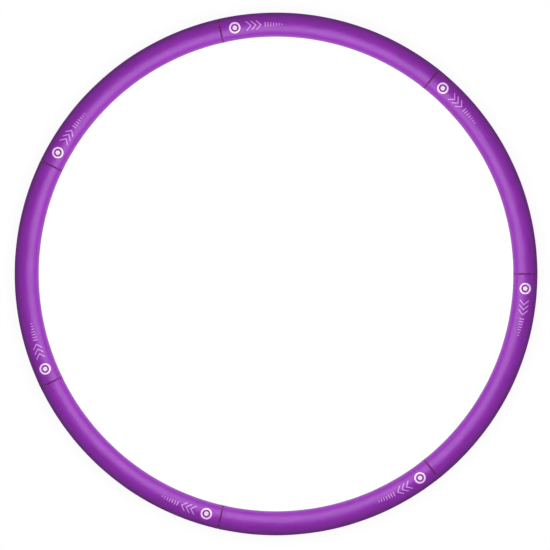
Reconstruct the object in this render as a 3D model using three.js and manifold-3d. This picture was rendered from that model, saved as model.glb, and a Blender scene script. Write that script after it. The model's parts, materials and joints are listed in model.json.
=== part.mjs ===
// Sectional foam-covered hoop: seven identical curved sections that plug together
// into a closed ring. Each section is a rigid plastic core tube in a foam sleeve,
// with a socket moulded on one end and a spigot on the other. A push button in the
// socket end presses on the sprung latch of the neighbour's spigot and frees it.
//
// Millimetres, +Z up. The ring lies flat: its axis is Z and its origin is the
// centre of the ring, half way up the tube. Seam 1 is on +X, and the sections
// follow it clockwise as seen from +Z.

import * as THREE from "three";
import { mergeVertices } from "three/addons/utils/BufferGeometryUtils.js";
import Module from "manifold-3d";

const wasm = await Module();
wasm.setup();

// ---- driving dimensions -------------------------------------------------
const SECTIONS = 7;
const RING_R = 410; // radius of the tube's centre line
const FOAM_R = 20; // outside of the foam sleeve
const FOAM_BORE_R = 12.8;
const CORE_R = 12.5; // outside of the core tube and of the socket body
const CORE_BORE_R = 10.5;
const PLUG_R = 10.2; // the plugs that are pressed into the core tube
const PLUG_BORE_R = 7.4;
const PLUG_LENGTH = 26;
const GAP = 0.3; // running and assembly gap
const SEAM_GAP = 0.15; // half the gap between two flanges
const FLANGE_R = 17.5;
const FLANGE_T = 1.0;
const NOSE_R = 8.5; // spigot, across its flats
const NOSE_BORE_R = 6.6;
const NOSE_LENGTH = 44;
const SOCKET_BORE_R = 8.8;
const SOCKET_BORE_LENGTH = 46.5;
const SOCKET_LENGTH = 50; // seam to the shoulder where the core tube starts
const KEY_W = 3; // rib on the spigot that lines the latch up with its hole
const KEY_H = 1;

const BUTTON_ARC = 24; // seam to the button, along the centre line
const BUTTON_HEAD_R = 3.9;
const BUTTON_FLANGE_R = 4.9;
const BUTTON_STEM_R = 2.8;
const BUTTON_TOP_Z = 19.6;
const LATCH_R = 3.2;
const LATCH_TOP_Z = 11.0;
const LATCH_HOLE_R = 3.6;
const HOUSING_R = 6.2;
const HOUSING_CAVITY_R = 5.3;
const HOUSING_HOLE_R = 4.3;
const HOUSING_TOP_Z = 18.4;
const SEAT_Z = 10.3; // floor of the housing's seat in the socket wall
const TRIM_IN_R = 6.5; // trim ring around the button
const TRIM_OUT_R = 9.5;
const TRIM_SKIRT_IN_R = 7;
const TRIM_SKIRT_OUT_R = 7.9;

const FOAM_SIDES = 20;
const CORE_SIDES = 12;
const TURNED_SIDES = 12; // everything turned about the button or the spigot
const BENDS = 8; // straight lengths that make up one section's arc

const STEP = (2 * Math.PI) / SECTIONS;
const BEND_FROM = SEAM_GAP / RING_R;
const buttonAngle = BUTTON_ARC / RING_R;
const buttonX = RING_R * Math.cos(buttonAngle);
const buttonY = -RING_R * Math.sin(buttonAngle);
const arc = (mm) => mm / RING_R; // angle of an arc length on the centre line

// ---- helpers ------------------------------------------------------------
function solidOf(geometry) {
  const flat = geometry.index ? geometry.toNonIndexed() : geometry;
  const bare = new THREE.BufferGeometry().setAttribute(
    "position",
    flat.getAttribute("position"),
  );
  const merged = mergeVertices(bare, 1e-4);
  const index = merged.index.array;
  const kept = [];
  for (let i = 0; i < index.length; i += 3) {
    const [a, b, c] = [index[i], index[i + 1], index[i + 2]];
    if (a !== b && b !== c && c !== a) kept.push(a, b, c);
  }
  const make = (tri) =>
    new wasm.Manifold(
      new wasm.Mesh({
        numProp: 3,
        vertProperties: merged.attributes.position.array,
        triVerts: new Uint32Array(tri),
      }),
    );
  const made = make(kept);
  if (made.volume() > 0) return made;
  const turned = [];
  for (let i = 0; i < kept.length; i += 3)
    turned.push(kept[i], kept[i + 2], kept[i + 1]);
  return make(turned);
}

function geometryOf(solid) {
  const m = solid.getMesh();
  const position = new Float32Array(m.numVert * 3);
  for (let i = 0; i < m.numVert; i++)
    position.set(
      m.vertProperties.subarray(i * m.numProp, i * m.numProp + 3),
      i * 3,
    );
  const g = new THREE.BufferGeometry()
    .setAttribute("position", new THREE.BufferAttribute(position, 3))
    .setIndex(new THREE.BufferAttribute(m.triVerts, 1));
  g.computeVertexNormals();
  return g;
}

const cornerR = (flats) => flats / Math.cos(Math.PI / TURNED_SIDES);
const union = (...solids) => solids.reduce((a, b) => a.add(b));
const cut = (body, ...tools) => tools.reduce((a, b) => a.subtract(b), body);

// A polygon whose flats are at the stated radius, with a flat on each axis.
function flatsPolygon(Kind, radius, sides) {
  const shape = new Kind();
  const r = radius / Math.cos(Math.PI / sides);
  for (let i = 0; i < sides; i++) {
    const a = ((i + 0.5) * 2 * Math.PI) / sides;
    const x = r * Math.cos(a);
    const y = r * Math.sin(a);
    if (i) shape.lineTo(x, y);
    else shape.moveTo(x, y);
  }
  shape.closePath();
  return shape;
}

// Every part of a section bends at the same stations, so that one swept tube
// nests in another with an even gap. They mirror about the seam.
const stations = Array.from(
  { length: BENDS + 1 },
  (_, i) => BEND_FROM + ((STEP - 2 * BEND_FROM) * i) / BENDS,
);
function centreRadius(angle) {
  const a = Math.abs(angle);
  for (let i = 0; i < BENDS; i++) {
    const [lo, hi] = [stations[i], stations[i + 1]];
    if (a >= lo && a <= hi)
      return (RING_R * Math.cos((hi - lo) / 2)) / Math.cos(a - (lo + hi) / 2);
  }
  return RING_R;
}

// The tube's centre line through a list of angles, clockwise from seam 1.
class CentreLine extends THREE.Curve {
  constructor(angles) {
    super();
    this.angles = angles;
  }
  angleAt(t) {
    const last = this.angles.length - 1;
    const i = Math.min(last - 1, Math.floor(t * last + 1e-9));
    const share = t * last - i;
    return this.angles[i] + (this.angles[i + 1] - this.angles[i]) * share;
  }
  getPoint(t, target = new THREE.Vector3()) {
    const a = this.angleAt(t);
    const r = centreRadius(a);
    return target.set(r * Math.cos(a), -r * Math.sin(a), 0);
  }
  getTangent(t, target = new THREE.Vector3()) {
    const a = this.angleAt(t);
    return target.set(-Math.sin(a), -Math.cos(a), 0);
  }
  getPointAt(u, target) {
    return this.getPoint(u, target);
  }
  getTangentAt(u, target) {
    return this.getTangent(u, target);
  }
}

// A tube swept along the centre line; bore 0 gives a solid bar.
function sweep(from, to, radius, sides, bore = 0, boreSides = sides) {
  const shape = flatsPolygon(THREE.Shape, radius, sides);
  if (bore) shape.holes.push(flatsPolygon(THREE.Path, bore, boreSides));
  const mirrored = [...stations.map((a) => -a).reverse(), ...stations];
  const between = mirrored.filter((a) => a > from + 1e-6 && a < to - 1e-6);
  const angles = [from, ...between, to];
  return solidOf(
    new THREE.ExtrudeGeometry(shape, {
      steps: angles.length - 1,
      extrudePath: new CentreLine(angles),
    }),
  );
}

// A round bar upright at the button.
function barZ(radius, from, to) {
  const g = new THREE.CylinderGeometry(
    radius,
    radius,
    to - from,
    TURNED_SIDES,
  );
  return solidOf(
    g.rotateX(Math.PI / 2).translate(buttonX, buttonY, (from + to) / 2),
  );
}

// A profile of [radius, height] turned about the button's upright axis.
function turnZ(profile) {
  const points = profile.map(([r, h]) => new THREE.Vector2(r, h));
  const g = new THREE.LatheGeometry(points, TURNED_SIDES);
  return solidOf(g.rotateX(Math.PI / 2).translate(buttonX, buttonY, 0));
}

// A profile of [radius, y] turned about a line parallel to Y. The spigot's own
// line is straight and passes under the button.
function turnY(profile, x = buttonX) {
  const points = profile.map(([r, h]) => new THREE.Vector2(r, h));
  const g = new THREE.LatheGeometry(points, TURNED_SIDES);
  return solidOf(g.translate(x, 0, 0));
}

function box(x0, x1, y0, y1, z0, z1) {
  return solidOf(
    new THREE.BoxGeometry(x1 - x0, y1 - y0, z1 - z0).translate(
      (x0 + x1) / 2,
      (y0 + y1) / 2,
      (z0 + z1) / 2,
    ),
  );
}

// ---- foam sleeve --------------------------------------------------------
// It runs from seam to seam. Each end is recessed for a connector's flange, and
// a stepped pocket takes the button's trim.
const foamEnd = BEND_FROM;
const flangeRecess = turnY(
  [
    [0, 2],
    [FLANGE_R + GAP, 2],
    [FLANGE_R + GAP, -SEAM_GAP - FLANGE_T - GAP],
    [0, -SEAM_GAP - FLANGE_T - GAP],
  ],
  RING_R,
);
const nearButton = [arc(BUTTON_ARC - 14), arc(BUTTON_ARC + 14)];
const foamPocket = cut(
  barZ(TRIM_OUT_R + GAP, 8, 26),
  sweep(...nearButton, 17.7, FOAM_SIDES),
);
const foamSleeve = cut(
  sweep(
    foamEnd,
    STEP - foamEnd,
    FOAM_R,
    FOAM_SIDES,
    FOAM_BORE_R,
    CORE_SIDES,
  ),
  foamPocket,
  barZ(TRIM_SKIRT_OUT_R + GAP, 4, 26),
  flangeRecess,
  flangeRecess.mirror([0, 1, 0]).rotate([0, 0, (-STEP * 180) / Math.PI]),
);

// ---- core tube ----------------------------------------------------------
const coreTube = sweep(
  arc(SOCKET_LENGTH + GAP),
  STEP - arc(SEAM_GAP + FLANGE_T + GAP),
  CORE_R,
  CORE_SIDES,
  CORE_BORE_R,
);

// ---- socket, at the section's first end ---------------------------------
const socketBody = union(
  turnY(
    [
      [0, -SEAM_GAP],
      [FLANGE_R, -SEAM_GAP],
      [FLANGE_R, -SEAM_GAP - FLANGE_T],
      [0, -SEAM_GAP - FLANGE_T],
    ],
    RING_R,
  ),
  sweep(arc(0.6), arc(SOCKET_LENGTH), CORE_R, CORE_SIDES),
  sweep(
    arc(SOCKET_LENGTH - 2),
    arc(SOCKET_LENGTH + PLUG_LENGTH),
    PLUG_R,
    CORE_SIDES,
  ),
);
const socket = cut(
  socketBody,
  turnY([
    [0, 1],
    [cornerR(SOCKET_BORE_R), 1],
    [cornerR(SOCKET_BORE_R), -SOCKET_BORE_LENGTH],
    [0, -SOCKET_BORE_LENGTH],
  ]),
  sweep(
    arc(SOCKET_BORE_LENGTH - 2),
    arc(SOCKET_LENGTH + PLUG_LENGTH + 1),
    PLUG_BORE_R,
    CORE_SIDES,
  ),
  box(
    buttonX - KEY_W / 2 - GAP,
    buttonX + KEY_W / 2 + GAP,
    -SOCKET_BORE_LENGTH,
    1,
    -NOSE_R - KEY_H - GAP,
    -6,
  ),
  barZ(LATCH_HOLE_R, 5, 14),
  barZ(HOUSING_R + GAP, SEAT_Z, 16),
);

// ---- spigot, at the section's last end ----------------------------------
// Drawn at seam 1: the section lies on +Y and the nose points along -Y.
const spigotBody = union(
  turnY([
    [0, 1],
    [cornerR(NOSE_R), 1],
    [cornerR(NOSE_R), -NOSE_LENGTH + 1.5],
    [cornerR(NOSE_R) - 1.2, -NOSE_LENGTH],
    [0, -NOSE_LENGTH],
  ]),
  turnY(
    [
      [0, SEAM_GAP + FLANGE_T],
      [FLANGE_R, SEAM_GAP + FLANGE_T],
      [FLANGE_R, SEAM_GAP],
      [0, SEAM_GAP],
    ],
    RING_R,
  ),
  sweep(-arc(PLUG_LENGTH + 1), -arc(0.6), PLUG_R, CORE_SIDES),
  box(
    buttonX - KEY_W / 2,
    buttonX + KEY_W / 2,
    -NOSE_LENGTH + 3,
    -SEAM_GAP - GAP,
    -NOSE_R - KEY_H,
    -NOSE_R + 1.2,
  ),
);
const spigot = cut(
  spigotBody,
  turnY([
    [0, 3],
    [NOSE_BORE_R, 3],
    [NOSE_BORE_R, -NOSE_LENGTH - 1],
    [0, -NOSE_LENGTH - 1],
  ]),
  sweep(-arc(PLUG_LENGTH + 3), -arc(2), PLUG_BORE_R, CORE_SIDES),
  barZ(LATCH_HOLE_R, 4, 12),
);

// ---- latch spring, in the spigot ----------------------------------------
// A V of spring strip. Its upper leg carries the latch that stands in the
// socket wall; its lower leg rests on the floor of the spigot's bore.
const STRIP_T = 0.8;
const STRIP_W = 6;
const legs = [
  [-28.5, -4.9],
  [-20, -4.4],
  [-8, -1.6],
  [-5, 0],
  [-8, 1.6],
  [-19, 4.2],
  [-29, 4.7],
];
function stripShape(path, t) {
  const side = (sign) =>
    path.map(([x, y], i) => {
      const [px, py] = path[Math.max(0, i - 1)];
      const [nx, ny] = path[Math.min(path.length - 1, i + 1)];
      const l = Math.hypot(nx - px, ny - py);
      const into = i === 3 ? 1.5 : 1;
      return new THREE.Vector2(
        x - (sign * into * t * (ny - py)) / l / 2,
        y + (sign * into * t * (nx - px)) / l / 2,
      );
    });
  return new THREE.Shape([...side(1), ...side(-1).reverse()]);
}
// the strip's profile is drawn in (y, z) and given its width along X
const stripGeometry = new THREE.ExtrudeGeometry(stripShape(legs, STRIP_T), {
  depth: STRIP_W,
  bevelEnabled: false,
  steps: 1,
});
stripGeometry.applyMatrix4(
  new THREE.Matrix4().set(
    0, 0, 1, buttonX - STRIP_W / 2,
    1, 0, 0, 0,
    0, 1, 0, 0,
    0, 0, 0, 1,
  ),
);
const latchSpring = union(
  solidOf(stripGeometry),
  turnZ([
    [0, 4.4],
    [LATCH_R, 4.4],
    [LATCH_R, LATCH_TOP_Z - 1],
    [LATCH_R - 1, LATCH_TOP_Z - 0.2],
    [0, LATCH_TOP_Z],
  ]),
);

// ---- button housing, push button and trim ring --------------------------
const SHOULDER_Z = 14.8; // the step that holds the button in
const housing = turnZ([
  [HOUSING_R, SEAT_Z + GAP],
  [HOUSING_R, HOUSING_TOP_Z],
  [HOUSING_HOLE_R, HOUSING_TOP_Z],
  [HOUSING_HOLE_R, SHOULDER_Z],
  [HOUSING_CAVITY_R, SHOULDER_Z],
  [HOUSING_CAVITY_R, SEAT_Z + GAP],
  [HOUSING_R, SEAT_Z + GAP],
]);

const button = turnZ([
  [0, LATCH_TOP_Z + GAP],
  [BUTTON_STEM_R, LATCH_TOP_Z + GAP],
  [BUTTON_STEM_R, 13.3],
  [BUTTON_FLANGE_R, 13.3],
  [BUTTON_FLANGE_R, SHOULDER_Z - GAP],
  [BUTTON_HEAD_R, SHOULDER_Z - GAP],
  [BUTTON_HEAD_R, BUTTON_TOP_Z - 0.6],
  [BUTTON_HEAD_R - 0.8, BUTTON_TOP_Z - 0.1],
  [0, BUTTON_TOP_Z],
]);

// The trim ring follows the tube's surface, and its skirt grips the foam.
const trimBlank = turnZ([
  [TRIM_IN_R, 12],
  [TRIM_OUT_R, 12],
  [TRIM_OUT_R, 24],
  [TRIM_IN_R, 24],
  [TRIM_IN_R, 12],
]);
const trimWasher = trimBlank.intersect(
  sweep(...nearButton, FOAM_R - 0.05, FOAM_SIDES, 18),
);
const trimSkirt = turnZ([
  [TRIM_SKIRT_IN_R, 13.4],
  [TRIM_SKIRT_OUT_R, 13.4],
  [TRIM_SKIRT_OUT_R, 18.2],
  [TRIM_SKIRT_IN_R, 18.2],
  [TRIM_SKIRT_IN_R, 13.4],
]);
const trimRing = union(trimWasher, trimSkirt);

// ---- materials ----------------------------------------------------------
const material = (hex, roughness, metalness = 0) =>
  new THREE.MeshStandardMaterial({ color: hex, roughness, metalness });
const foam = material(0x8a2fa8, 0.55);
const corePlastic = material(0xb9bcc2, 0.5);
const nylon = material(0x24222a, 0.5);
const housingPlastic = material(0x7a2a96, 0.4);
const white = material(0xf6f0f8, 0.3);
const steel = material(0xb4b7bb, 0.3, 1);

// ---- assembly -----------------------------------------------------------
const group = new THREE.Group();
const kinds = [
  ["foam_sleeve", geometryOf(foamSleeve), foam, 0],
  ["core_tube", geometryOf(coreTube), corePlastic, 0],
  ["socket", geometryOf(socket), nylon, 0],
  ["spigot", geometryOf(spigot), nylon, 1],
  ["latch_spring", geometryOf(latchSpring), steel, 1],
  ["button_housing", geometryOf(housing), housingPlastic, 0],
  ["push_button", geometryOf(button), white, 0],
  ["trim_ring", geometryOf(trimRing), white, 0],
];
for (let section = 1; section <= SECTIONS; section++) {
  const parts = new THREE.Group();
  parts.rotation.z = -(section - 1) * STEP;
  for (const [name, geometry, finish, seamsOn] of kinds) {
    const mesh = new THREE.Mesh(geometry, finish);
    mesh.name = `${name}_${section}`;
    mesh.rotation.z = -seamsOn * STEP; // a spigot stands at the next seam
    parts.add(mesh);
  }
  group.add(parts);
}

export default group;
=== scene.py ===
"""The looks of a sectional foam-covered hoop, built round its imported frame.

Shapes are worked out in millimetres in one section's own frame, where the seam
lies on +X and the section runs clockwise from it, and are then turned to each
of the seven places. u is the distance along the tube's centre line from the
seam, and phi the angle round the tube, with 90 degrees at the button side.
"""

import json
import math

import bmesh
import bpy
import numpy as np
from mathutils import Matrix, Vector, noise

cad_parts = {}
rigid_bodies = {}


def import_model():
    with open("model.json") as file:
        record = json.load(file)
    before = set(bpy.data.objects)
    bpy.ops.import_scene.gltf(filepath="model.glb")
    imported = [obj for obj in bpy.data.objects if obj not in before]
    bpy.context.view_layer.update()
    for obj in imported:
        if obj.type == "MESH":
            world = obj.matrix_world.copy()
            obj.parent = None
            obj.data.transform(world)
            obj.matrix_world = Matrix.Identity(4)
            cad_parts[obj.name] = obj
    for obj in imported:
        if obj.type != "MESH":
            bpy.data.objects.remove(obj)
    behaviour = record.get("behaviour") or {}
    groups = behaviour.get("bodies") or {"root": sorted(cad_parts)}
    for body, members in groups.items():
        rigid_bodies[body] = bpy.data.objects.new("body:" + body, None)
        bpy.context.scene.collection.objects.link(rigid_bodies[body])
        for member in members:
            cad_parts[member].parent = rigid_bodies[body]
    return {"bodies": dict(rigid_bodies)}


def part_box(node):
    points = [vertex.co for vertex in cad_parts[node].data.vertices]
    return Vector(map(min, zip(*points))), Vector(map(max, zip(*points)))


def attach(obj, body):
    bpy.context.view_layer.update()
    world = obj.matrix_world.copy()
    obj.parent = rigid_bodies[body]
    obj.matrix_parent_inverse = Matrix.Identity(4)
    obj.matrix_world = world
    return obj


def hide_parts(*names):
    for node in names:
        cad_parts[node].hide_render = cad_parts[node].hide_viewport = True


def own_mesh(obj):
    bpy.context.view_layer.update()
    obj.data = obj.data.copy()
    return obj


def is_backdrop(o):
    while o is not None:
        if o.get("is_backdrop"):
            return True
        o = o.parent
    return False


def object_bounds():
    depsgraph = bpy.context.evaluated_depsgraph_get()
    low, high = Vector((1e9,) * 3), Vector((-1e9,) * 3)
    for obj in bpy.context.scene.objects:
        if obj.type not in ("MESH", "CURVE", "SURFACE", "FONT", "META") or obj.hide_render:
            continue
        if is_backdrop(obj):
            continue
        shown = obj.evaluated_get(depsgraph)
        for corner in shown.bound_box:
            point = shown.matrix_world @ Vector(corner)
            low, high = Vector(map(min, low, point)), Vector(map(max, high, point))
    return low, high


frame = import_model()
cad_low, cad_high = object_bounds()

SECTIONS = sum(1 for b in frame["bodies"] if b.startswith("section_"))
STEP = 2 * math.pi / SECTIONS
TUBE = (cad_high.z - cad_low.z) * 500  # radius of the foam
RING = (cad_high.x - cad_low.x) * 500 - TUBE  # radius of the centre line
RING = round(RING, 1)
LENGTH = RING * STEP
low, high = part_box("push_button_1")
BX = (low.x + high.x) * 500  # the button's upright axis
BY = (low.y + high.y) * 500
BX, BY = RING * math.cos(math.atan2(BY, BX)), RING * math.sin(math.atan2(BY, BX))
BU = -math.atan2(BY, BX) * RING  # seam to button

LAMP_Z, LAMP_R = 0.31, 0.37  # the lamp's height over the ring, and its radius
LAMP = 3.2  # its brightness, and the sky's above and below the horizon
SKY, SKY_BELOW = 0.54, 0.06
CARD = 1.2  # the white card, inside the ring

scene = bpy.context.scene
scene.view_settings.view_transform = "Standard"
scene.view_settings.look = "None"


# ---------------------------------------------------------------- mesh tools
def torus(u, r, phi):
    """Points on a tube of radius r round the section's centre line."""
    a = -np.asarray(u) / RING
    rr = RING + r * np.cos(phi)
    return np.stack(
        np.broadcast_arrays(rr * np.cos(a), rr * np.sin(a), r * np.sin(phi)), -1
    )


def straight(y, r, phi, x=None):
    """Points on a straight tube that runs along Y. x is its axis."""
    x = BX if x is None else x
    return np.stack(
        np.broadcast_arrays(x + r * np.cos(phi), np.asarray(y, float), r * np.sin(phi)),
        -1,
    )


def unroll(p):
    """(u, offset from the centre line, z) of points in the section's frame."""
    p = np.asarray(p, float)
    rr = np.hypot(p[..., 0], p[..., 1])
    u = -np.arctan2(p[..., 1], p[..., 0]) * RING
    return np.stack((u, rr - RING, p[..., 2]), -1)


class Builder:
    """Collects vertices and faces, with a material number for each face."""

    def __init__(self):
        self.v, self.f, self.m = [], [], []

    def ring(self, points):
        start = len(self.v)
        self.v.extend(np.asarray(points, float).reshape(-1, 3).tolist())
        return list(range(start, len(self.v)))

    def join(self, a, b, mat=0, closed=True):
        n = len(a)
        for i in range(n if closed else n - 1):
            j = (i + 1) % n
            self.f.append((a[i], a[j], b[j], b[i]))
            self.m.append(mat)

    def cap(self, a, mat=0):
        centre = self.ring(np.mean([self.v[i] for i in a], axis=0))[0]
        for i in range(len(a)):
            self.f.append((a[i], a[(i + 1) % len(a)], centre))
            self.m.append(mat)


def lathe(profile, segments, x=0.0, y=0.0, builder=None, mat=0):
    """A profile of (radius, z) turned about an upright axis. It starts and ends
    on the axis, or closes on itself."""
    b = builder or Builder()
    t = np.arange(segments) * 2 * math.pi / segments
    closed = profile[0][0] > 0
    rings = []
    for r, z in profile:
        if r <= 0:
            rings.append(b.ring([(x, y, z)]) * segments)
        else:
            rings.append(
                b.ring(
                    np.stack(
                        (x + r * np.cos(t), y + r * np.sin(t), np.full_like(t, z)), -1
                    )
                )
            )
    pairs = list(zip(rings, rings[1:]))
    if closed:
        pairs.append((rings[-1], rings[0]))
    for a, c in pairs:
        for i in range(segments):
            j = (i + 1) % segments
            face = []
            for k in (a[i], a[j], c[j], c[i]):
                if k not in face:
                    face.append(k)
            if len(face) > 2:
                b.f.append(tuple(face))
                b.m.append(mat)
    return b


def rounded(points, radius, steps=3):
    """A closed or open line of (a, b) points with its corners rounded off.
    radius is one number, or one for each point (0 keeps the corner)."""
    n = len(points)
    radii = [radius] * n if np.isscalar(radius) else list(radius)
    out = []
    for i, p in enumerate(points):
        p = np.array(p, float)
        if radii[i] <= 0:
            out.append(tuple(p))
            continue
        a = np.array(points[i - 1], float) - p
        c = np.array(points[(i + 1) % n], float) - p
        la, lc = np.linalg.norm(a), np.linalg.norm(c)
        a, c = a / la, c / lc
        half = math.acos(float(np.clip(a @ c, -1, 1))) / 2
        if half > math.radians(88):
            out.append(tuple(p))
            continue
        r = min(radii[i], 0.45 * min(la, lc) * math.tan(half))
        d = r / math.tan(half)
        centre = p + (a + c) / np.linalg.norm(a + c) * (r / math.sin(half))
        s, e = p + a * d - centre, p + c * d - centre
        whole = math.acos(float(np.clip(s @ e / (r * r), -1, 1)))
        for k in range(steps + 1):
            t = k / steps
            q = (math.sin((1 - t) * whole) * s + math.sin(t * whole) * e) / math.sin(
                whole
            )
            out.append(tuple(centre + q))
    return out


def grid_hole(b, outer, inner, j0, j1, out_of, in_of, levels, mats, shrink=4, lip=0):
    """Opens a round hole through the wall of a lofted tube. outer and inner are
    lists of rings (vertex numbers) over the hole's length, of equal count, and
    j0..j1 the columns; out_of and in_of give the surfaces as f(x, y) -> z.
    levels are (radius, z or function) steps of the hole's wall, outside first,
    of which the first lip steps keep the outside's material.
    """

    def border(rings):
        loop = [rings[i][j0] for i in range(len(rings) - 1)]
        loop += [rings[-1][j] for j in range(j0, j1)]
        loop += [rings[i][j1] for i in range(len(rings) - 1, 0, -1)]
        loop += [rings[0][j] for j in range(j1, j0, -1)]
        return loop

    edge_out, edge_in = border(outer), border(inner)
    po = np.array([b.v[i] for i in edge_out])[:, :2] - (BX, BY)
    angle = np.arctan2(po[:, 1], po[:, 0])
    unit = np.stack((np.cos(angle), np.sin(angle)), -1)

    def circle(r, level):
        xy = unit * r + (BX, BY)
        z = level(xy[:, 0], xy[:, 1]) if callable(level) else np.full(len(xy), level)
        return np.column_stack((xy, z))

    def between(edge, r, surface, count, mat, outward):
        pe = np.array([b.v[i] for i in edge])[:, :2]
        pc = unit * r + (BX, BY)
        made = []
        for k in range(1, count + 1):
            t = k / (count + 1)
            t = t * (1.6 - 0.6 * t)
            xy = pe * (1 - t) + pc * t
            made.append(b.ring(np.column_stack((xy, surface(xy[:, 0], xy[:, 1])))))
        chain = [edge, *made]
        return chain

    first_r, last_r = levels[0][0], levels[-1][0]
    chain = between(edge_out, first_r, out_of, shrink, mats[0], True)
    wall = [b.ring(circle(r, z)) for r, z in levels]
    back = between(edge_in, last_r, in_of, 2, mats[2], False)
    rings = chain + wall + back[::-1]
    n_out = len(chain)
    for i, (a, c) in enumerate(zip(rings, rings[1:])):
        if i < n_out + lip:
            mat = mats[0]
        elif i < n_out + len(wall) - 1:
            mat = mats[1]
        else:
            mat = mats[2]
        b.join(a, c, mat)


def loft(b, rings, mats, skip=()):
    """Faces between rings that close on themselves. skip holds (i, j) cells
    that a hole takes away."""
    n = len(rings)
    skip = set(skip)
    for i in range(n):
        a, c = rings[i], rings[(i + 1) % n]
        for j in range(len(a)):
            if (i, j) in skip:
                continue
            k = (j + 1) % len(a)
            b.f.append((a[j], a[k], c[k], c[j]))
            b.m.append(mats[i])


TURN = [0.0] + [-(k - 1) * STEP for k in range(1, SECTIONS + 1)]


def finish_mesh(
    name, b, section, materials, at_next=False, sharp=38, displace=None, tube=True
):
    """A mesh object from a builder, turned to its section. at_next: the piece
    was drawn at the seam where the section ends."""
    v = np.array(b.v, float)
    if displace is not None:
        v = displace(v)
    mesh = bpy.data.meshes.new(name)
    turn = TURN[section] - (STEP if at_next else 0)
    c, s = math.cos(turn), math.sin(turn)
    world = np.column_stack((v[:, 0] * c - v[:, 1] * s, v[:, 0] * s + v[:, 1] * c, v[:, 2]))
    mesh.from_pydata((world * 0.001).tolist(), [], b.f)
    for m in materials:
        mesh.materials.append(m)
    mesh.polygons.foreach_set("material_index", np.array(b.m, np.int32))
    bm = bmesh.new()
    bm.from_mesh(mesh)
    bmesh.ops.remove_doubles(bm, verts=bm.verts, dist=1e-7)
    bmesh.ops.recalc_face_normals(bm, faces=bm.faces)
    limit = math.radians(sharp)
    for e in bm.edges:
        e.smooth = len(e.link_faces) == 2 and e.calc_face_angle(0) < limit
    for f in bm.faces:
        f.smooth = True
    if not all(e.is_manifold for e in bm.edges):
        raise RuntimeError(f"{name} isn't closed")
    bm.to_mesh(mesh)
    bm.free()
    if tube:  # where each point is on the unrolled tube, in mm
        co = np.zeros(len(mesh.vertices) * 3)
        mesh.vertices.foreach_get("co", co)
        co = co.reshape(-1, 3) * 1000
        c, s = math.cos(-turn), math.sin(-turn)
        local = np.column_stack(
            (co[:, 0] * c - co[:, 1] * s, co[:, 0] * s + co[:, 1] * c, co[:, 2])
        )
        flat = unroll(local)
        flat[:, 0] += 1000 * section + (LENGTH if at_next else 0)
        attribute = mesh.attributes.new("tube", "FLOAT_VECTOR", "POINT")
        attribute.data.foreach_set("vector", flat.astype(np.float32).ravel())
    o = bpy.data.objects.new(name, mesh)
    scene.collection.objects.link(o)
    return o


# ---------------------------------------------------------------- materials
class Nodes:
    """A short way to write a material's nodes."""

    def __init__(self, name):
        self.material = bpy.data.materials.new(name)
        self.material.use_nodes = True
        self.tree = self.material.node_tree
        self.tree.nodes.clear()
        self.out = self.tree.nodes.new("ShaderNodeOutputMaterial")
        self.shader = self.tree.nodes.new("ShaderNodeBsdfPrincipled")
        self.tree.links.new(self.shader.outputs[0], self.out.inputs[0])

    def add(self, kind, **values):
        node = self.tree.nodes.new("ShaderNode" + kind)
        for key, value in values.items():
            if key.startswith("_"):
                setattr(node, key[1:], value)
        for key, value in values.items():
            if key.startswith("_"):
                continue
            name = key.replace("_", " ")
            socket = (
                node.inputs[int(name[1:])]
                if name[0] == "i" and name[1:].isdigit()
                else node.inputs[name]
            )
            self.put(socket, value)
        return node

    def put(self, socket, value):
        if isinstance(value, bpy.types.NodeSocket):
            self.tree.links.new(value, socket)
        else:
            socket.default_value = value

    def set(self, **values):
        for key, value in values.items():
            self.put(self.shader.inputs[key.replace("_", " ")], value)

    def where(self, scale=(1, 1, 1)):
        """The place on the unrolled tube, in mm, times scale."""
        attribute = self.add("Attribute", _attribute_name="tube")
        return self.add(
            "VectorMath", _operation="MULTIPLY", i0=attribute.outputs["Vector"], i1=scale
        ).outputs[0]

    def noise(self, vector, scale=1.0, detail=2.0, roughness=0.5):
        return self.add(
            "TexNoise", Vector=vector, Scale=scale, Detail=detail, Roughness=roughness
        ).outputs["Fac"]

    def span(self, value, lo, hi, to_lo=0.0, to_hi=1.0, smooth=False):
        return self.add(
            "MapRange",
            _interpolation_type="SMOOTHSTEP" if smooth else "LINEAR",
            Value=value,
            From_Min=lo,
            From_Max=hi,
            To_Min=to_lo,
            To_Max=to_hi,
        ).outputs[0]

    def math(self, operation, a, b=0.0):
        return self.add("Math", _operation=operation, i0=a, i1=b).outputs[0]

    def mix(self, share, a, b):
        node = self.add("Mix", _data_type="RGBA", _clamp_factor=True)
        self.put(node.inputs[0], share)
        for socket, value in ((node.inputs[6], a), (node.inputs[7], b)):
            self.put(socket, value if isinstance(value, bpy.types.NodeSocket) else (*value, 1))
        return node.outputs[2]

    def bump(self, height, distance, strength=1.0, normal=None):
        node = self.add("Bump", Height=height, Distance=distance, Strength=strength)
        if normal is not None:
            self.put(node.inputs["Normal"], normal)
        return node.outputs[0]


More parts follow.
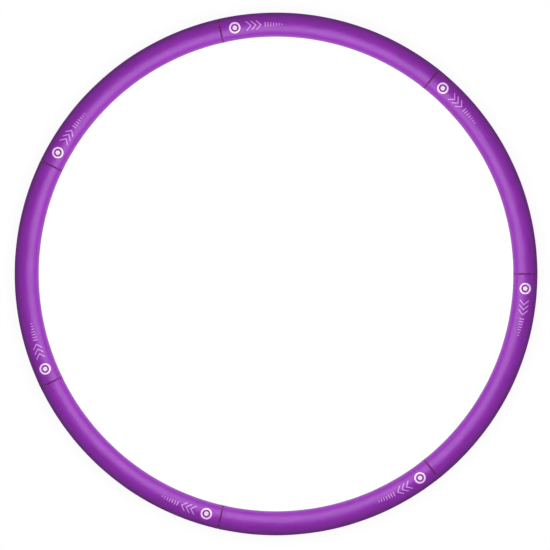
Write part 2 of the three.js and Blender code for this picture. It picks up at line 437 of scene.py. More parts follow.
def foam_skin_material():
    """Closed-cell foam with its moulded skin: satin, faintly pitted, drawn
    along the tube."""
    n = Nodes("foam_skin")
    mm = n.where()
    cloud = n.noise(n.where((0.03, 0.09, 0.09)), 1.0, 3.0, 0.55)
    streak = n.noise(n.where((0.035, 1.1, 1.1)), 1.0, 2.0, 0.5)
    peel = n.noise(mm, 0.85, 2.0, 0.55)
    cells = n.add("TexVoronoi", Vector=mm, Scale=1.35, Randomness=1.0)
    pits = n.span(cells.outputs["Distance"], 0.02, 0.42, 0.0, 1.0, True)
    grain = n.noise(mm, 3.2, 2.0, 0.6)
    colour = n.mix(
        n.span(cloud, 0.3, 0.7, 0.0, 1.0, True), (0.176, 0.0042, 0.278), (0.202, 0.0062, 0.314)
    )
    colour = n.mix(n.span(streak, 0.42, 0.68, 0.0, 0.22), colour, (0.235, 0.012, 0.360))
    # painted shade: the hollows of the pits are darkened a little
    colour = n.mix(n.span(pits, 0.0, 1.0, 0.18, 0.0), colour, (0.085, 0.002, 0.150))
    colour = n.mix(n.span(grain, 0.5, 0.75, 0.0, 0.08), colour, (0.28, 0.030, 0.42))
    # painted shade: the skin is darkened towards each seam, where the groove between the sleeves lies in
    # shade, and is made rougher there
    flat = n.add("SeparateXYZ", Vector=n.where())
    along = n.math("MODULO", flat.outputs[0], 1000.0)
    from_end = n.math("MINIMUM", along, n.math("SUBTRACT", LENGTH, along))
    painted_seam_shade = n.span(from_end, 0.40, 2.3, 0.92, 0.0, True)
    # the seam's painted shade: a dark purple laid over the skin within about 2 mm of each end
    colour = n.mix(painted_seam_shade, colour, (0.095, 0.0005, 0.082))
    rough = n.span(n.noise(n.where((0.1, 0.35, 0.35)), 1.0, 3.0, 0.6), 0.3, 0.7, 0.37, 0.46)
    rough = n.math("ADD", rough, n.math("MULTIPLY", painted_seam_shade, 0.55))
    normal = n.bump(n.noise(n.where((0.05, 0.10, 0.10)), 1.0, 2.0, 0.5), 0.0009, 0.5)
    normal = n.bump(streak, 0.00010, 0.55, normal)
    normal = n.bump(peel, 0.00016, 0.6, normal)
    normal = n.bump(pits, 0.00007, 0.8, normal)
    n.set(Base_Color=colour, Roughness=rough, Normal=normal, IOR=1.46)
    return n.material


def foam_cut_material():
    """The foam's cut faces: burst cells, dry and paler."""
    n = Nodes("foam_cut")
    mm = n.where()
    cells = n.add("TexVoronoi", Vector=mm, Scale=1.6, Randomness=1.0)
    small = n.add("TexVoronoi", Vector=mm, Scale=3.7, Randomness=1.0)
    depth = n.math("MINIMUM", cells.outputs["Distance"], small.outputs["Distance"])
    cup = n.span(depth, 0.05, 0.5, 0.0, 1.0, True)
    cloud = n.noise(mm, 0.12, 3.0, 0.5)
    # painted shade: the hollows of the burst cells are coloured dark, the cell walls paler
    colour = n.mix(cup, (0.060, 0.004, 0.110), (0.205, 0.030, 0.320))
    colour = n.mix(n.span(cloud, 0.35, 0.7, 0.0, 0.3), colour, (0.25, 0.05, 0.36))
    normal = n.bump(cup, 0.00035, 0.8)
    normal = n.bump(n.noise(mm, 6.0, 2.0, 0.6), 0.00006, 0.8, normal)
    n.set(Base_Color=colour, Roughness=n.span(cloud, 0.3, 0.7, 0.78, 0.92), Normal=normal)
    n.set(IOR=1.45, Sheen_Weight=0.2, Sheen_Roughness=0.6)
    return n.material


def moulded(name, base, deep, rough, grain_mm, bump, speck=0.0, pale=None, ior=1.49):
    """Injection-moulded plastic with a spark-eroded grain."""
    n = Nodes(name)
    mm = n.where()
    cloud = n.noise(mm, 0.11, 3.0, 0.5)
    grain = n.noise(mm, 1.0 / grain_mm, 2.0, 0.6)
    colour = n.mix(n.span(cloud, 0.3, 0.7, 0.0, 1.0, True), base, deep)
    if pale is not None:
        colour = n.mix(n.span(grain, 0.55, 0.75, 0.0, speck), colour, pale)
    r = n.span(n.noise(mm, 0.5, 3.0, 0.6), 0.3, 0.7, rough[0], rough[1])
    normal = n.bump(grain, bump * 0.001, 0.7)
    normal = n.bump(cloud, 0.00010, 0.4, normal)
    n.set(Base_Color=colour, Roughness=r, Normal=normal, IOR=ior)
    return n


def nylon_material():
    """Charcoal nylon, rubbed paler along the way it slides."""
    n = moulded(
        "connector_nylon",
        (0.021, 0.020, 0.026),
        (0.030, 0.029, 0.036),
        (0.44, 0.58),
        0.28,
        0.05,
        0.35,
        (0.055, 0.053, 0.062),
        1.53,
    )
    slide = n.noise(n.where((0.08, 2.2, 2.2)), 1.0, 2.0, 0.6)
    base = n.shader.inputs["Base Color"].links[0].from_socket
    n.put(
        n.shader.inputs["Base Color"],
        n.mix(n.span(slide, 0.56, 0.7, 0.0, 0.30), base, (0.085, 0.083, 0.095)),
    )
    return n.material


def core_material():
    """Extruded polypropylene tube with draw lines."""
    n = moulded(
        "core_plastic", (0.50, 0.51, 0.54), (0.56, 0.57, 0.60), (0.36, 0.46), 0.5, 0.03
    )
    lines = n.noise(n.where((0.01, 1.6, 1.6)), 1.0, 2.0, 0.5)
    normal = n.shader.inputs["Normal"].links[0].from_socket
    n.put(n.shader.inputs["Normal"], n.bump(lines, 0.00012, 0.6, normal))
    return n.material


def white_material(name, base, deep, coat):
    n = moulded(name, base, deep, (0.20, 0.28), 0.9, 0.012)
    n.set(Coat_Weight=coat, Coat_Roughness=0.12, Subsurface_Weight=0.08)
    n.set(Subsurface_Radius=(0.6, 0.5, 0.6), Subsurface_Scale=0.002)
    return n.material


def steel_material():
    """Rolled spring strip: grain along its length, blued a little by heat."""
    n = Nodes("spring_steel")
    mm = n.where()
    lines = n.noise(n.where((0.12, 7.0, 2.0)), 1.0, 3.0, 0.6)
    heat = n.noise(mm, 0.09, 2.0, 0.5)
    colour = n.mix(n.span(lines, 0.3, 0.7, 0.0, 1.0), (0.50, 0.51, 0.53), (0.64, 0.65, 0.67))
    colour = n.mix(n.span(heat, 0.5, 0.75, 0.0, 0.35), colour, (0.42, 0.44, 0.56))
    n.set(Base_Color=colour, Metallic=1.0, Roughness=n.span(lines, 0.3, 0.7, 0.24, 0.38))
    n.set(Normal=n.bump(lines, 0.00002, 0.6))
    return n.material


def ink_material():
    """Screen-printed ink, thin enough to break up over the foam's pits."""
    n = Nodes("printed_ink")
    mm = n.where()
    cells = n.add("TexVoronoi", Vector=mm, Scale=1.35, Randomness=1.0)
    pits = n.span(cells.outputs["Distance"], 0.02, 0.30, 0.0, 1.0, True)
    patchy = n.noise(mm, 0.8, 3.0, 0.6)
    colour = n.mix(
        n.span(patchy, 0.35, 0.6, 0.35, 0.0), (0.50, 0.24, 0.58), (0.38, 0.14, 0.47)
    )
    colour = n.mix(n.span(pits, 0.0, 1.0, 0.35, 0.0), colour, (0.26, 0.06, 0.36))
    n.set(Base_Color=colour, Roughness=n.span(patchy, 0.3, 0.7, 0.36, 0.5), IOR=1.46)
    n.set(Normal=n.bump(pits, 0.00006, 0.7))
    return n.material


def floor_material():
    """A pale floor, lit through from below so that a shadow on it stays faint."""
    n = Nodes("studio_floor")
    place = n.add("TexCoord").outputs["Object"]
    cloud = n.noise(place, 3.0, 3.0, 0.5)
    colour = n.mix(n.span(cloud, 0.3, 0.7), (0.077, 0.077, 0.077), (0.083, 0.083, 0.083))
    n.set(Base_Color=colour, Roughness=1.0, Specular_IOR_Level=0.0)
    n.set(Emission_Color=(1, 1, 1, 1), Emission_Strength=0.935)
    n.material.cycles.emission_sampling = "NONE"
    return n.material


def backdrop_material():
    n = Nodes("studio_backdrop")
    n.set(Base_Color=(0, 0, 0, 1), Roughness=1.0, Specular_IOR_Level=0.0)
    n.set(Emission_Color=(1, 1, 1, 1), Emission_Strength=0.95)
    n.material.cycles.emission_sampling = "NONE"
    return n.material


def card_material():
    n = Nodes("studio_card")
    n.set(Base_Color=(0, 0, 0, 1), Roughness=1.0, Specular_IOR_Level=0.0)
    n.set(Emission_Color=(1, 1, 1, 1), Emission_Strength=CARD)
    n.material.cycles.emission_sampling = "NONE"
    return n.material


SKIN = foam_skin_material()
CUT = foam_cut_material()
NYLON = nylon_material()
CORE = core_material()
STEEL = steel_material()
INK = ink_material()
WHITE = white_material("button_white", (0.68, 0.46, 0.72), (0.72, 0.50, 0.76), 0.5)
TRIM = white_material("trim_white", (0.72, 0.47, 0.76), (0.76, 0.51, 0.80), 0.35)
HOUSING = moulded(
    "housing_plastic", (0.160, 0.008, 0.255), (0.190, 0.012, 0.300), (0.34, 0.44), 0.35, 0.03
).material


# ------------------------------------------------------------- foam sleeve
AROUND = 80  # columns round the tube; column AROUND/4 is the top
TOP = AROUND // 4
HALF = AROUND // 8  # columns each side of the top that a hole may use
PHI = np.arange(AROUND) * 2 * math.pi / AROUND
LIP = 0.03  # seam to the foam's end: the soft ends all but touch
TRIM_R = 9.54
POCKET_R = TRIM_R + 0.12
BORE_R = 12.85


def foam_radius(u, phi, section):
    """The sleeve's outside: soft foam is never quite true. It swells a little
    beside each seam, and is drawn in under the edge of the trim ring."""
    u, phi = np.broadcast_arrays(np.asarray(u, float), np.asarray(phi, float))
    wave = np.empty(u.shape)
    for i in np.ndindex(u.shape):
        c, s = math.cos(phi[i]), math.sin(phi[i])
        wave[i] = noise.noise(Vector((u[i] / 42, c * 1.1, s * 1.1 + 9.7 * section)))
        wave[i] += 0.4 * noise.noise(Vector((u[i] / 11, c * 2.6, s * 2.6 - 5.3 * section)))
    end = np.minimum(u, LENGTH - u)
    swell = 0.20 * np.exp(-(((end - 3.4) / 3.0) ** 2))
    r = TUBE - 0.08 + 0.11 * wave + swell
    off = TUBE * np.cos(phi)
    gap = np.hypot(u - BU, off) - TRIM_R
    dimple = 0.22 * np.exp(-((np.maximum(gap, 0) / 2.6) ** 2))
    return r - np.where(np.sin(phi) > 0, dimple, 0)


def foam_height(section, drop=0.0):
    """z of the foam's outside over (x, y), near the top."""

    def z(x, y):
        u, off, _ = unroll(np.column_stack((x, y, np.zeros(len(x))))).T
        r = np.full(len(u), TUBE)
        for _ in range(3):
            phi = np.arccos(np.clip(off / r, -1, 1))
            r = foam_radius(u, phi, section)
        return np.sqrt(np.maximum(r * r - off * off, 0)) - drop

    return z


def tube_height(radius):
    def z(x, y):
        off = np.hypot(x, y) - RING
        return np.sqrt(np.maximum(radius * radius - off * off, 0))

    return z


def foam_sleeve(section):
    b = Builder()
    hole = [BU + t * 1.75 for t in range(-8, 9)]
    outer_u = [1.9, 2.6, 3.4, 4.4, 5.6, 7.2, 8.8]
    far = [LENGTH - x for x in outer_u][::-1]
    middle = list(np.linspace(hole[-1], far[0], 78)[1:-1])
    outer = outer_u + hole + middle + far
    inner = [2.8, 6.0] + hole + list(np.linspace(hole[-1], LENGTH - 6.0, 30)[1:]) + [LENGTH - 2.8]
    rings, mats = [], []

    def add(points, mat):
        rings.append(b.ring(points))
        mats.append(mat)

    # rounded lip, recess for the flange, bore, and the same at the far end
    lip = [(0.85, 0.02), (0.52, 0.09), (0.27, 0.22), (0.09, 0.42), (0.0, 0.68)]
    for x, d in lip[::-1]:
        u = LIP + x
        add(torus(u, foam_radius(u, PHI, section) - d, PHI), 0)
    first_outer = len(rings)
    for u in outer:
        add(torus(u, foam_radius(u, PHI, section), PHI), 0)
    for x, d in lip:
        u = LENGTH - LIP - x
        add(torus(u, foam_radius(u, PHI, section) - d, PHI), 0)
    mats[-1] = 1
    for x, r in [(0, 18.05), (0.15, 17.88), (1.22, 17.86), (1.30, 17.7), (1.30, 13.1), (1.45, BORE_R)]:
        add(torus(LENGTH - LIP - x, r, PHI), 1)
    first_inner = len(rings)
    for u in inner[::-1]:
        add(torus(u, BORE_R, PHI), 1)
    for x, r in [(1.45, BORE_R), (1.30, 13.1), (1.30, 17.7), (1.22, 17.86), (0.15, 17.88), (0, 18.05)]:
        add(torus(LIP + x, r, PHI), 1)
    j0, j1 = TOP - HALF, TOP + HALF
    i0 = first_outer + len(outer_u)
    i1 = i0 + len(hole) - 1
    n_in = len(inner)
    k1 = first_inner + n_in - 1 - 2  # inner ring at the first hole station
    k0 = k1 - (len(hole) - 1)
    skip = [(i, j) for i in range(i0, i1) for j in range(j0, j1)]
    skip += [(i, j) for i in range(k0, k1) for j in range(j0, j1)]
    loft(b, rings, mats, skip)
    outside = foam_height(section)
    levels = [
        (POCKET_R + 0.80, outside),
        (POCKET_R + 0.40, foam_height(section, 0.05)),
        (POCKET_R + 0.13, foam_height(section, 0.20)),
        (POCKET_R, foam_height(section, 0.45)),
        (POCKET_R, foam_height(section, 0.80)),
        (POCKET_R, tube_height(18.4)),
        (POCKET_R, tube_height(17.7)),
        (POCKET_R - 0.15, tube_height(17.6)),
        (8.35, tube_height(17.6)),
        (8.2, tube_height(17.45)),
        (8.2, tube_height(15.0)),
        (8.2, tube_height(BORE_R)),
    ]
    grid_hole(
        b,
        [rings[i] for i in range(i0, i1 + 1)],
        [rings[i] for i in range(k1, k0 - 1, -1)],
        j0,
        j1,
        outside,
        tube_height(BORE_R),
        levels,
        (0, 1, 1),
        shrink=5,
        lip=4,
    )
    o = finish_mesh(f"foam_skin_{section}", b, section, [SKIN, CUT])
    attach(o, f"section_{section}")
    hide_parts(f"foam_sleeve_{section}")
    return o


# ------------------------------------------------------------ trim and button
def at_button(r, t):
    return BX + r * np.cos(t), BY + r * np.sin(t)


def trim_ring(section):
    """A saddle that follows the tube, with a skirt down inside the foam."""
    b = Builder()
    t = np.arange(96) * 2 * math.pi / 96
    top = rounded(
        [(6.5, 18.0), (6.5, 19.72), (7.2, 20.10), (8.7, 20.16), (TRIM_R, 19.86), (TRIM_R, 18.0)],
        [0.15, 0.35, 0.9, 0.9, 0.40, 0.25],
        4,
    )
    rings = []
    for r, shell in top:
        x, y = at_button(r, t)
        rings.append(b.ring(np.column_stack((x, y, tube_height(shell)(x, y)))))
    for r, level in [(8.05, 18.0), (7.9, 17.8)]:
        x, y = at_button(r, t)
        rings.append(b.ring(np.column_stack((x, y, tube_height(level)(x, y)))))
    for r, z in [(7.9, 13.7), (7.65, 13.45), (7.25, 13.45), (7.0, 13.7)]:
        x, y = at_button(r, t)
        rings.append(b.ring(np.column_stack((x, y, np.full(96, z)))))
    x, y = at_button(7.0, t)
    rings.append(b.ring(np.column_stack((x, y, tube_height(18.0)(x, y)))))
    loft(b, rings, [0] * len(rings))
    o = finish_mesh(f"trim_{section}", b, section, [TRIM])
    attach(o, f"section_{section}")
    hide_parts(f"trim_ring_{section}")


def housing(section):
    profile = rounded(
        [
            (6.2, 10.6),
            (6.2, 18.42),
            (5.35, 18.42),
            (4.3, 17.75),
            (4.3, 14.8),
            (5.3, 14.8),
            (5.3, 10.6),
        ],
        [0.2, 0.18, 0.5, 0.35, 0.1, 0.2, 0.15],
        3,
    )
    b = lathe(profile, 72, BX, BY)
    o = finish_mesh(f"housing_{section}", b, section, [HOUSING])
    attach(o, f"section_{section}")
    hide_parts(f"button_housing_{section}")


def button(section):
    """A plunger with a shallow dish for the fingertip."""
    profile = [(0, 11.3), (2.55, 11.3), (2.8, 11.5), (2.8, 13.3), (4.7, 13.3), (4.9, 13.5)]
    profile += [(4.9, 14.3), (4.75, 14.5), (4.02, 14.5), (3.9, 14.62), (3.9, 18.50)]
    profile += [(3.86, 18.82), (3.73, 19.12), (3.52, 19.35), (3.22, 19.50), (2.85, 19.56)]
    profile += [(2.4, 19.54), (1.8, 19.46), (1.2, 19.38), (0.6, 19.32), (0, 19.30)]
    b = lathe(profile, 64, BX, BY)
    o = finish_mesh(f"button_{section}", b, section, [WHITE])
    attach(o, f"button_{section}")
    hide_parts(f"push_button_{section}")


# -------------------------------------------------------------- connectors
def cylinder_height(radius, x0):
    def z(x, y):
        return np.sqrt(np.maximum(radius * radius - (x - x0) ** 2, 0))

    return z


def rib(radius, half_width, height, soft=0.35):
    """The ring of radii, with a rib (or a groove, height below 0) at the
    bottom."""
    across = radius * np.cos(PHI)
    shape = np.clip((half_width + soft - np.abs(across)) / (2 * soft), 0, 1)
    shape = shape * shape * (3 - 2 * shape)
    return radius + np.where(np.sin(PHI) < 0, shape, 0) * height


def column_angles(half_width, radius):
    """Columns round the tube, moved so that a rib's sides are steep."""
    phi = PHI.copy()
    edge = math.asin(half_width / radius)
    for sign in (-1, 1):
        want = -math.pi / 2 + sign * edge + 2 * math.pi
        near = np.argsort(np.abs(phi - want))[:2]
        near = sorted(near)
        phi[near[0]] = want - 0.012
        phi[near[1]] = want + 0.012
    return phi


def socket(section):
    b = Builder()
    phi = column_angles(1.7, 9.2)
    bottom = phi > math.pi
    in_groove = bottom & (np.abs(np.cos(phi)) * 9.2 < 1.7)
    rings, mats = [], []

    def add(points):
        rings.append(b.ring(points))

    def flange(y, r):
        add(straight(y, r, phi, RING))

    hole = [BU + t * 1.05 for t in range(-8, 9)]
    # flange, body, plug
    flange(-0.15, 16.9)
    flange(-0.22, 17.25)
    flange(-0.45, 17.45)
    flange(-0.85, 17.45)
    flange(-1.08, 17.25)
    flange(-1.15, 16.9)
    flange(-1.15, 13.2)
    add(torus(1.5, 12.6, phi))
    add(torus(2.6, 12.5, phi))
    add(torus(8.0, 12.5, phi))
    first = len(rings)
    for u in hole:
        add(torus(u, 12.5, phi))
    for u in (38.0, 44.0, 49.6):
        add(torus(u, 12.5, phi))
    add(torus(50.0, 12.2, phi))
    add(torus(50.0, 10.35, phi))
    for u in (50.4, 58.0, 66.0, 74.6):
        add(torus(u, 10.2, phi))
    add(torus(76.0, 9.3, phi))
    add(torus(76.0, 7.7, phi))
    for u in (75.6, 68.0, 60.0, 52.0):
        add(torus(u, 7.4, phi))
    add(torus(47.2, 7.4, phi))
    add(straight(-46.6, 8.4, phi))

    def bore(y, grow=0.0):
        r = np.full(len(phi), 8.95 + grow)
        r[in_groove] = 9.85 + grow
        add(straight(y, r, phi))

    for y in (-46.3, -44.0, -38.0):
        bore(y)
    first_in = len(rings)
    for u in hole[::-1]:
        bore(-RING * math.sin(u / RING))
    for y in (-8.0, -3.0, -1.6):
        bore(y)
    bore(-0.9, 0.25)
    bore(-0.35, 0.75)
    bore(-0.15, 1.05)
    for y, r in [(-0.15, 12.3), (-0.42, 12.5), (-0.55, 12.9), (-0.55, 13.7), (-0.42, 14.1)]:
        flange(y, r)
    flange(-0.15, 14.3)
    j0, j1 = TOP - HALF, TOP + HALF
    i0, i1 = first, first + len(hole) - 1
    k0, k1 = first_in, first_in + len(hole) - 1
    skip = [(i, j) for i in range(i0, i1) for j in range(j0, j1)]
    skip += [(i, j) for i in range(k0, k1) for j in range(j0, j1)]
    loft(b, rings, [0] * len(rings), skip)
    outside = tube_height(12.5)
    inside = cylinder_height(8.95, BX)
    levels = [
        (6.75, outside),
        (6.5, lambda x, y: outside(x, y) - 0.2),
        (6.5, 10.38),
        (6.36, 10.3),
        (3.85, 10.3),
        (3.62, 10.1),
        (3.62, lambda x, y: inside(x, y) + 0.22),
        (3.84, inside),
    ]
    grid_hole(
        b,
        [rings[i] for i in range(i0, i1 + 1)],
        [rings[i] for i in range(k1, k0 - 1, -1)],
        j0,
        j1,
        outside,
        inside,
        levels,
        (0, 0, 0),
        shrink=2,
    )
    o = finish_mesh(f"socket_{section}_shell", b, section, [NYLON])
    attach(o, f"section_{section}")
    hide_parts(f"socket_{section}")


def spigot(section):
    b = Builder()
    phi = column_angles(1.45, 8.9)
    in_rib = (phi > math.pi) & (np.abs(np.cos(phi)) * 8.9 < 1.45)
    rings = []

    def add(points):
        rings.append(b.ring(points))

    def nose(y, r=8.68, key=0.0):
        rr = np.full(len(phi), r)
        rr[in_rib] += key
        add(straight(y, rr, phi))

    hole = [-RING * math.sin(BU / RING) - t * 0.72 for t in range(-8, 9)][::-1]
    # from the tip outside, over the flange, along the plug, and back inside
    nose(-44.0, 7.0)
    nose(-44.0, 7.45)
    nose(-43.7, 7.95)
    nose(-42.9, 8.42)
    nose(-41.9, 8.66)
    nose(-41.1, 8.68)
    nose(-40.9, 8.68, 0.05)
    nose(-40.1, 8.68, 0.62)
    nose(-39.4, 8.68, 0.74)
    nose(-35.0, 8.68, 0.75)
    first = len(rings)
    for y in hole:
        nose(y, 8.68, 0.75)
    for y in (-14.0, -8.0):
        nose(y, 8.68, 0.75)
    for y in (-4.2, -3.9, -3.2, -2.9):  # a witness groove near the flange
        nose(y, 8.68 if y in (-4.2, -2.9) else 8.38, 0.75)
    nose(-1.0, 8.68, 0.75)
    nose(-0.35, 8.80, 0.72)
    nose(0.12, 9.25, 0.3)
    add(straight(0.15, 9.9, phi, RING))
    for y, r in [(0.15, 12.3), (0.42, 12.5), (0.55, 12.9), (0.55, 13.7), (0.42, 14.1)]:
        add(straight(y, r, phi, RING))
    for y, r in [(0.15, 14.3), (0.15, 16.9), (0.22, 17.25), (0.45, 17.45), (0.85, 17.45)]:
        add(straight(y, r, phi, RING))
    for y, r in [(1.08, 17.25), (1.15, 16.9), (1.15, 10.6)]:
        add(straight(y, r, phi, RING))
    for u in (-1.6, -8.0, -16.0, -26.4):
        add(torus(u, 10.2, phi))
    add(torus(-27.0, 9.7, phi))
    add(torus(-27.0, 7.9, phi))
    for u in (-26.6, -20.0, -12.0, -5.0):
        add(torus(u, 7.4, phi))
    add(straight(2.0, 6.6, phi))
    for y in (-4.0, -9.0, -14.0):
        add(straight(y, 6.6, phi))
    first_in = len(rings)
    for y in hole[::-1]:
        add(straight(y, 6.6, phi))
    add(straight(-35.0, 6.6, phi))
    add(straight(-42.6, 6.6, phi))
    add(straight(-43.6, 6.75, phi))
    j0, j1 = TOP - HALF, TOP + HALF
    i0, i1 = first, first + len(hole) - 1
    k0, k1 = first_in, first_in + len(hole) - 1
    skip = [(i, j) for i in range(i0, i1) for j in range(j0, j1)]
    skip += [(i, j) for i in range(k0, k1) for j in range(j0, j1)]
    loft(b, rings, [0] * len(rings), skip)
    outside = cylinder_height(8.68, BX)
    inside = cylinder_height(6.6, BX)
    levels = [
        (3.92, outside),
        (3.70, lambda x, y: outside(x, y) - 0.07),
        (3.62, lambda x, y: outside(x, y) - 0.28),
        (3.62, lambda x, y: inside(x, y) + 0.15),
        (3.72, inside),
    ]
    grid_hole(
        b,
        [rings[i] for i in range(i0, i1 + 1)],
        [rings[i] for i in range(k1, k0 - 1, -1)],
        j0,
        j1,
        outside,
        inside,
        levels,
        (0, 0, 0),
        shrink=3,
    )
    o = finish_mesh(f"spigot_{section}_shell", b, section, [NYLON], at_next=True)
    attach(o, f"section_{section}")
    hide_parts(f"spigot_{section}")


def core(section):
    b = Builder()
    phi = np.arange(64) * 2 * math.pi / 64
    rings = []
    start, end = 50.3, LENGTH - 1.45
    for u, r in [(start, 10.8), (start, 12.25), (start + 0.3, 12.5)]:
        rings.append(b.ring(torus(u, r, phi)))
    for u in np.linspace(start + 6, end - 6, 52):
        rings.append(b.ring(torus(u, 12.5, phi)))
    for u, r in [(end - 0.3, 12.5), (end, 12.25), (end, 10.8), (end - 0.3, 10.5)]:
        rings.append(b.ring(torus(u, r, phi)))
    for u in np.linspace(end - 6, start + 6, 52):
        rings.append(b.ring(torus(u, 10.5, phi)))
    rings.append(b.ring(torus(start + 0.3, 10.5, phi)))
    loft(b, rings, [0] * len(rings))
    o = finish_mesh(f"core_{section}", b, section, [CORE])
    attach(o, f"section_{section}")
    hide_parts(f"core_tube_{section}")


# ------------------------------------------------------------- latch spring
def strip_path():
    """The V's centre line in (y, z), with its bends rounded."""
    corners = [(-28.6, -4.88), (-20, -4.4), (-8.5, -1.9), (-4.6, 0), (-8.5, 1.9), (-19, 4.2), (-29, 4.7)]
    line = rounded(corners, [0, 6, 8, 1.7, 8, 6, 0], 10)
    dense = [line[0]]
    for a, c in zip(line, line[1:]):
        d = math.dist(a, c)
        for k in range(1, max(1, round(d / 1.2)) + 1):
            t = k / max(1, round(d / 1.2))
            dense.append((a[0] + (c[0] - a[0]) * t, a[1] + (c[1] - a[1]) * t))
    return dense


def joined(*parts):
    """One closed body out of overlapping closed ones."""
    made = []
    for part in parts:
        mesh = bpy.data.meshes.new("part")
        mesh.from_pydata(part.v, [], part.f)
        bm = bmesh.new()
        bm.from_mesh(mesh)
        bmesh.ops.remove_doubles(bm, verts=bm.verts, dist=1e-5)
        bmesh.ops.recalc_face_normals(bm, faces=bm.faces)
        bm.to_mesh(mesh)
        bm.free()
        o = bpy.data.objects.new("part", mesh)
        scene.collection.objects.link(o)
        made.append(o)
    for other in made[1:]:
        modifier = made[0].modifiers.new("join", "BOOLEAN")
        modifier.operation = "UNION"
        modifier.solver = "EXACT"
        modifier.object = other
    bpy.context.view_layer.update()
    solid = made[0].evaluated_get(bpy.context.evaluated_depsgraph_get()).to_mesh()
    bm = bmesh.new()
    bm.from_mesh(solid)
    bmesh.ops.dissolve_degenerate(bm, dist=0.02, edges=bm.edges)
    bmesh.ops.triangulate(bm, faces=[f for f in bm.faces if len(f.verts) > 4])
    bmesh.ops.dissolve_degenerate(bm, dist=0.02, edges=bm.edges)
    bm.verts.index_update()
    b = Builder()
    b.v = [tuple(v.co) for v in bm.verts]
    b.f = [tuple(v.index for v in f.verts) for f in bm.faces]
    b.m = [0] * len(b.f)
    bm.free()
    for o in made:
        mesh = o.data
        bpy.data.objects.remove(o)
        bpy.data.meshes.remove(mesh)
    return b


def latch_shape():
    """The strip, the latch that stands on its upper leg, and the rivet's head
    under it."""
    path = np.array(strip_path())
    d = np.gradient(path, axis=0)
    d /= np.linalg.norm(d, axis=1)[:, None]
    strip = Builder()
    half = rounded([(-3, -0.4), (3, -0.4), (3, 0.4), (-3, 0.4)], 0.18, 3)
    rings = []
    for (y, z), (ty, tz) in zip(path, d):
        rings.append(
            strip.ring([(BX + w, y - tz * h, z + ty * h) for w, h in half])
        )
    for a, c in zip(rings, rings[1:]):
        strip.join(a, c)
    strip.cap(rings[0])
    strip.cap(rings[-1])
    rivet = lathe(
        [(0, 3.50), (1.7, 3.50), (2.15, 3.62), (2.4, 3.85), (2.4, 4.30), (0, 4.30)],
        48,
        BX,
        BY,
    )
    latch = lathe(
        [(0, 4.45), (3.2, 4.45), (3.2, 9.75), (3.17, 10.0), (3.05, 10.28), (2.80, 10.55)]
        + [(2.45, 10.76), (2.0, 10.89), (1.4, 10.97), (0.7, 10.99), (0, 11.0)],
        48,
        BX,
        BY,
    )
    return joined(strip, rivet, latch)


def latch_spring(section):
    b = Builder()
    b.v, b.f, b.m = list(LATCH.v), list(LATCH.f), list(LATCH.m)
    o = finish_mesh(f"latch_{section}", b, section, [STEEL], at_next=True)
    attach(o, f"section_{section}")
    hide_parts(f"latch_spring_{section}")
    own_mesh(o)


# --------------------------------------------------------------- printed mark
def printed_mark(section):
    """Three chevrons and a row of bars that fade away from the seam: the way
    that the joint pulls. Thin ink that follows the foam."""
    b = Builder()

    def patch(edge_a, edge_c, across):
        """A strip between two lines of u over the points across the tube."""
        cols = 4
        grid = []
        for level in (0.05, -0.12):
            rows = []
            for w, ua, uc in zip(across, edge_a, edge_c):
                u = ua + (uc - ua) * np.arange(cols) / (cols - 1)
                phi = math.pi / 2 + w / TUBE
                rows.append(torus(u, foam_radius(u, phi, section) + level, phi))
            grid.append(np.array(rows))
        n = len(across)
        top = [[b.ring(grid[0][i][j])[0] for j in range(cols)] for i in range(n)]
        under = [[b.ring(grid[1][i][j])[0] for j in range(cols)] for i in range(n)]
        for i in range(n - 1):
            for j in range(cols - 1):
                b.f.append((top[i][j], top[i + 1][j], top[i + 1][j + 1], top[i][j + 1]))
                b.f.append((under[i][j], under[i][j + 1], under[i + 1][j + 1], under[i + 1][j]))
                b.m += [0, 0]
        rim = [(i, 0) for i in range(n)] + [(n - 1, j) for j in range(1, cols)]
        rim += [(i, cols - 1) for i in range(n - 2, -1, -1)]
        rim += [(0, j) for j in range(cols - 2, 0, -1)]
        for (i, j), (p, q) in zip(rim, rim[1:] + rim[:1]):
            b.f.append((top[i][j], under[i][j], under[p][q], top[p][q]))
            b.m.append(0)

    for start in (42.0, 50.2, 58.4):
        across = np.linspace(-7.6, 7.6, 27)
        tip = start + 7.6 - np.abs(across)
        patch(tip, tip + 2.2, across)
    for i in range(7):
        tall = 4.0 - 0.38 * i
        wide = 1.5 - 0.08 * i
        across = np.linspace(-tall, tall, 11)
        at = np.full(11, 73.5 + 4.6 * i)
        patch(at, at + wide, across)
    o = finish_mesh(f"direction_mark_{section}", b, section, [INK])
    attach(o, f"section_{section}")


LATCH = latch_shape()
for number in range(1, SECTIONS + 1):
    foam_sleeve(number)
    trim_ring(number)
    housing(number)
    button(number)
    socket(number)
    spigot(number)
    core(number)
    latch_spring(number)
    printed_mark(number)


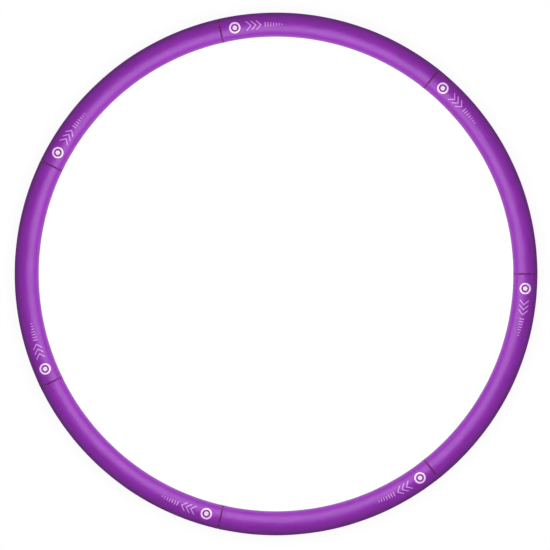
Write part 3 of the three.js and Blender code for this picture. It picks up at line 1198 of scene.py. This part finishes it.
# ------------------------------------------------------------------- studio
def studio():
    """A pale floor and a far backdrop, a soft sky, and one broad round lamp low
    over the middle of the ring. The floor and backdrop aren't mirrored in the
    hoop, which keeps its edges dark, as black flags round a set do."""
    material = floor_material()
    inside = (RING - TUBE) / 1000 - 0.004
    for name, radii in [("studio_floor", (inside, 30.0)), ("studio_floor_inside", (inside,))]:
        bm = bmesh.new()
        rings = []
        for radius in radii:
            rings.append(
                [
                    bm.verts.new((radius * math.cos(a), radius * math.sin(a), 0.0))
                    for a in np.arange(128) * 2 * math.pi / 128
                ]
            )
        if len(rings) == 1:
            bm.faces.new(rings[0])
        else:
            for k in range(128):
                l = (k + 1) % 128
                bm.faces.new((rings[0][k], rings[1][k], rings[1][l], rings[0][l]))
        mesh = bpy.data.meshes.new(name)
        bm.to_mesh(mesh)
        bm.free()
        mesh.materials.append(material)
        floor = bpy.data.objects.new(name, mesh)
        floor.location = (0, 0, cad_low.z - 0.0002)
        floor.visible_glossy = False
        floor.visible_diffuse = len(rings) == 2
        scene.collection.objects.link(floor)
        floor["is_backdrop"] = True

    # a white card on the floor inside the ring, seen only in the gloss
    card_mesh = bpy.data.meshes.new("studio_card")
    bm = bmesh.new()
    bmesh.ops.create_circle(
        bm, cap_ends=True, segments=128, radius=(RING - TUBE) / 1000 - 0.004
    )
    bm.to_mesh(card_mesh)
    bm.free()
    card_mesh.materials.append(card_material())
    card = bpy.data.objects.new("studio_card", card_mesh)
    card.location = (0, 0, cad_low.z - 0.0001)
    card.visible_camera = False
    card.visible_diffuse = False
    card.visible_transmission = False
    card.visible_shadow = False
    scene.collection.objects.link(card)
    card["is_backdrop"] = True

    wall_mesh = bpy.data.meshes.new("studio_backdrop")
    bm = bmesh.new()
    bmesh.ops.create_cone(
        bm, cap_ends=False, segments=128, radius1=29.9, radius2=29.9, depth=60.0
    )
    bm.to_mesh(wall_mesh)
    bm.free()
    wall_mesh.materials.append(backdrop_material())
    wall = bpy.data.objects.new("studio_backdrop", wall_mesh)
    wall.visible_diffuse = False
    wall.visible_glossy = False
    wall.visible_transmission = False
    wall.visible_shadow = False
    scene.collection.objects.link(wall)
    wall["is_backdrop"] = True

    world = bpy.data.worlds.new("studio")
    scene.world = world
    world.use_nodes = True
    tree = world.node_tree
    back = tree.nodes["Background"]
    place = tree.nodes.new("ShaderNodeTexCoord")
    split = tree.nodes.new("ShaderNodeSeparateXYZ")
    level = tree.nodes.new("ShaderNodeMapRange")
    level.interpolation_type = "SMOOTHSTEP"
    level.inputs["From Min"].default_value = -0.06
    level.inputs["From Max"].default_value = 0.06
    level.inputs["To Min"].default_value = SKY_BELOW
    level.inputs["To Max"].default_value = SKY
    tree.links.new(place.outputs["Generated"], split.inputs[0])
    tree.links.new(split.outputs["Z"], level.inputs["Value"])
    tree.links.new(level.outputs[0], back.inputs["Strength"])
    back.inputs["Color"].default_value = (1.0, 1.0, 1.0, 1)

    lamp = bpy.data.lights.new("key", "AREA")
    lamp.shape = "DISK"
    lamp.size = 2 * LAMP_R
    lamp.energy = LAMP * math.pi * math.pi * LAMP_R * LAMP_R
    key = bpy.data.objects.new("key", lamp)
    key.location = (0, 0, LAMP_Z)
    key.visible_camera = False
    scene.collection.objects.link(key)


def camera():
    """Straight down on the button side, from far enough for a flat view."""
    reach = 12.0
    wide = 0.9044
    data = bpy.data.cameras.new("camera")
    data.sensor_width = 36.0
    data.lens = 36.0 * reach / wide
    data.clip_start = 0.05
    data.clip_end = 60.0
    data.dof.use_dof = False
    o = bpy.data.objects.new("camera", data)
    o.location = (-0.0017, -0.0017, reach)
    o.rotation_euler = (0, 0, 0)
    scene.collection.objects.link(o)
    scene.camera = o


studio()
camera()

low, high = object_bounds()
